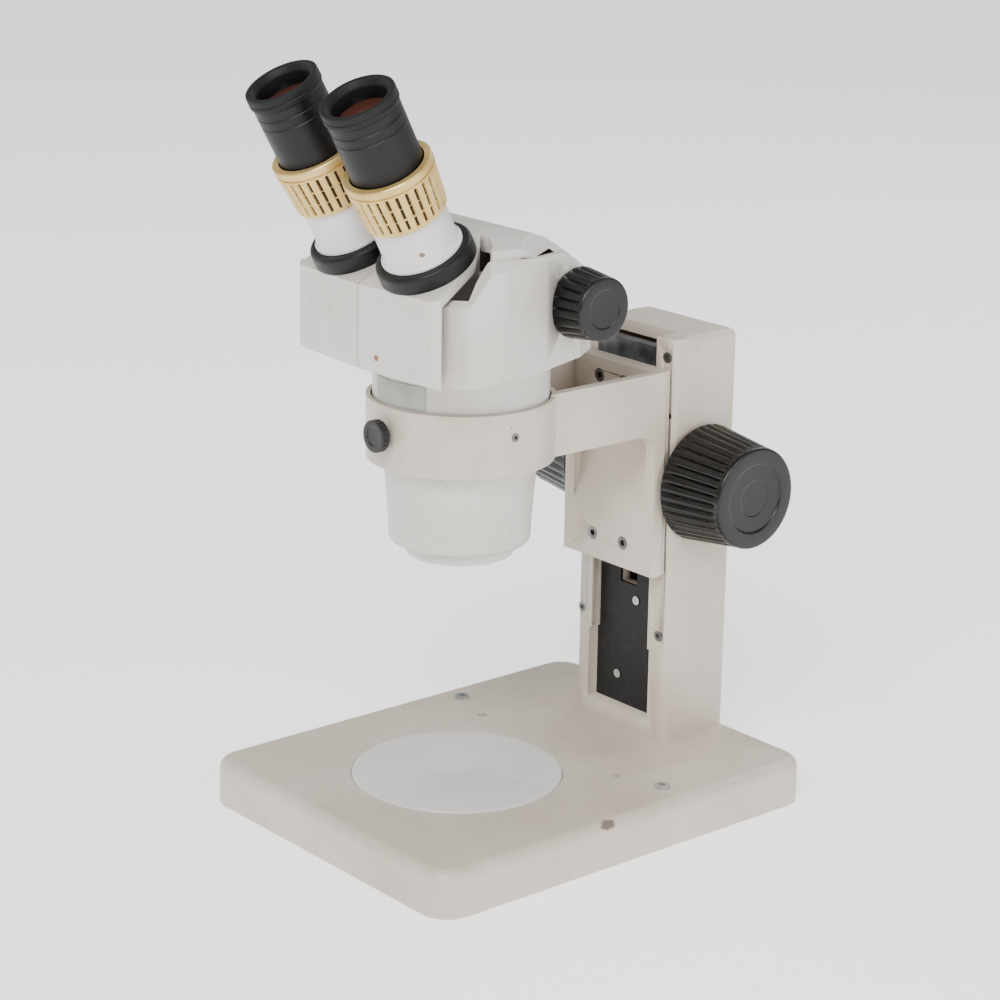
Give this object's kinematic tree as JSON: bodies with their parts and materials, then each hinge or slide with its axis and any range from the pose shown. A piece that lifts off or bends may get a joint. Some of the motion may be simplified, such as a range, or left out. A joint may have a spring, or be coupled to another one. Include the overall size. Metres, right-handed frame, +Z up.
{
  "type": "stereo microscope",
  "caption": "Stereo microscope on a pillar stand, with a rack focus, a turning zoom head and swinging eyepiece tubes.",
  "frame": {"origin": "on the bench, under the middle of the base", "axes": "+Z up, -Y towards the user, +X to the user's right"},
  "size_m": [0.18, 0.2463, 0.3617],
  "materials": {
    "stand_paint": "semi-gloss enamel",
    "cover_steel": "matt sheet",
    "foot_rubber": "moulded",
    "bright_screw": "polished",
    "dark_screw": "oxidised",
    "stage_white": "satin",
    "panel_black": "matt black",
    "bearing_bronze": "turned",
    "slide_metal": "machined",
    "shaft_steel": "ground",
    "knob_plastic": "moulded gloss",
    "head_paint": "semi-gloss enamel",
    "tube_paint": "gloss enamel",
    "label_metal": "satin plate",
    "optical_glass": "polished",
    "collar_black": "satin",
    "gold_anodised": "satin anodised",
    "eyepiece_black": "satin",
    "eyecup_rubber": "moulded"
  },
  "bodies": {
    "stand": {"base_casting": "stand_paint", "base_cover": "cover_steel", "foot_pads": "foot_rubber", "base_screws": "bright_screw", "pillar_casting": "stand_paint", "pillar_bolts": "dark_screw", "guide_rail_left": "stand_paint", "guide_rail_right": "stand_paint", "rail_screws": "dark_screw", "recess_cover": "panel_black", "recess_cover_screws": "bright_screw", "shaft_bushings": "bearing_bronze"},
    "stage": {"stage_plate": "stage_white"},
    "carriage": {"focus_slide": "slide_metal", "focus_rack": "bearing_bronze", "arm_bracket": "stand_paint", "arm_screws": "dark_screw", "ring_set_screw": "dark_screw"},
    "focus_drive": {"pinion_shaft": "shaft_steel", "focus_knob_left": "knob_plastic", "focus_knob_right": "knob_plastic"},
    "ring_clamp": {"ring_clamp_knob": "knob_plastic"},
    "head": {"head_collar": "head_paint", "lower_housing": "head_paint", "nose_ring": "tube_paint", "objective_lens": "optical_glass", "head_body": "head_paint", "head_cover": "head_paint", "head_screws": "dark_screw", "label_plate": "label_metal", "zoom_bushings": "bearing_bronze", "zoom_guide_rods": "shaft_steel"},
    "zoom_drive": {"zoom_shaft": "shaft_steel", "zoom_knob_left": "knob_plastic", "zoom_knob_right": "knob_plastic"},
    "zoom_upper": {"zoom_carrier_upper": "slide_metal", "zoom_lenses_upper": "optical_glass"},
    "zoom_lower": {"zoom_carrier_lower": "slide_metal", "zoom_lenses_lower": "optical_glass"},
    "swing_left": {"prism_housing_left": "head_paint", "prisms_left": "optical_glass", "swing_gear_left": "bearing_bronze", "tube_collar_left": "collar_black", "eyepiece_tube_left": "tube_paint"},
    "diopter_left": {"diopter_ring_left": "gold_anodised"},
    "sleeve_left": {"draw_sleeve_left": "shaft_steel"},
    "ocular_left": {"eyepiece_left": "eyepiece_black", "eyecup_left": "eyecup_rubber", "eye_lens_left": "optical_glass"},
    "swing_right": {"prism_housing_right": "head_paint", "prisms_right": "optical_glass", "swing_gear_right": "bearing_bronze", "tube_collar_right": "collar_black", "eyepiece_tube_right": "tube_paint"},
    "diopter_right": {"diopter_ring_right": "gold_anodised"},
    "sleeve_right": {"draw_sleeve_right": "shaft_steel"},
    "ocular_right": {"eyepiece_right": "eyepiece_black", "eyecup_right": "eyecup_rubber", "eye_lens_right": "optical_glass"}
  },
  "joints": [
    {"name": "stage_plate_lift", "type": "slide", "parent": "stand", "child": "stage", "axis": [0, 0, 1], "range_m": [0, 0.03]},
    {"name": "focus_travel", "type": "slide", "parent": "stand", "child": "carriage", "axis": [0, 0, 1], "range_m": [-0.04, 0.012]},
    {"name": "focus_knob_turn", "type": "hinge", "parent": "stand", "child": "focus_drive", "pos_m": [0, 0.0898, 0.152], "axis": [1, 0, 0], "range_deg": [-110, 360]},
    {"name": "clamp_knob_turn", "type": "hinge", "parent": "carriage", "child": "ring_clamp", "pos_m": [0, -0.0813, 0.196], "axis": [0, -1, 0], "range_deg": [0, 360]},
    {"name": "head_turn", "type": "hinge", "parent": "carriage", "child": "head", "pos_m": [0, -0.033, 0.2], "axis": [0, 0, 1], "continuous": true},
    {"name": "zoom_knob_turn", "type": "hinge", "parent": "head", "child": "zoom_drive", "pos_m": [0, -0.005, 0.2554], "axis": [1, 0, 0], "range_deg": [-120, 120]},
    {"name": "zoom_upper_travel", "type": "slide", "parent": "head", "child": "zoom_upper", "axis": [0, 0, 1], "range_m": [-0.012, 0.012]},
    {"name": "zoom_lower_travel", "type": "slide", "parent": "head", "child": "zoom_lower", "axis": [0, 0, 1], "range_m": [-0.009, 0.009]},
    {"name": "swing_right_turn", "type": "hinge", "parent": "head", "child": "swing_right", "pos_m": [0.012, -0.033, 0.23], "axis": [0, 0, 1], "range_deg": [0, 7.4]},
    {"name": "swing_left_turn", "type": "hinge", "parent": "head", "child": "swing_left", "pos_m": [-0.012, -0.033, 0.23], "axis": [0, 0, 1], "range_deg": [-7.4, 0]},
    {"name": "diopter_left_turn", "type": "hinge", "parent": "swing_left", "child": "diopter_left", "pos_m": [-0.024, -0.0717, 0.2769], "axis": [-0.0348, -0.4743, 0.8796], "range_deg": [-150, 150]},
    {"name": "sleeve_left_travel", "type": "slide", "parent": "swing_left", "child": "sleeve_left", "axis": [-0.0348, -0.4743, 0.8796], "range_m": [-0.003, 0.003]},
    {"name": "eyepiece_left_lift", "type": "slide", "parent": "sleeve_left", "child": "ocular_left", "axis": [-0.0348, -0.4743, 0.8796], "range_m": [0, 0.035]},
    {"name": "diopter_right_turn", "type": "hinge", "parent": "swing_right", "child": "diopter_right", "pos_m": [0.024, -0.0717, 0.2769], "axis": [0.0348, -0.4743, 0.8796], "range_deg": [-150, 150]},
    {"name": "sleeve_right_travel", "type": "slide", "parent": "swing_right", "child": "sleeve_right", "axis": [0.0348, -0.4743, 0.8796], "range_m": [-0.003, 0.003]},
    {"name": "eyepiece_right_lift", "type": "slide", "parent": "sleeve_right", "child": "ocular_right", "axis": [0.0348, -0.4743, 0.8796], "range_m": [0, 0.035]}
  ],
  "couplings": [
    {"joint": "focus_knob_turn", "follows": "focus_travel", "rad_per_m": -156.25},
    {"joint": "zoom_upper_travel", "follows": "zoom_knob_turn", "m_per_rad": 0.0057},
    {"joint": "zoom_lower_travel", "follows": "zoom_knob_turn", "m_per_rad": -0.0042},
    {"joint": "swing_left_turn", "follows": "swing_right_turn", "ratio": -1},
    {"joint": "sleeve_left_travel", "follows": "diopter_left_turn", "m_per_rad": 0.00114},
    {"joint": "sleeve_right_travel", "follows": "diopter_right_turn", "m_per_rad": 0.00114}
  ]
}
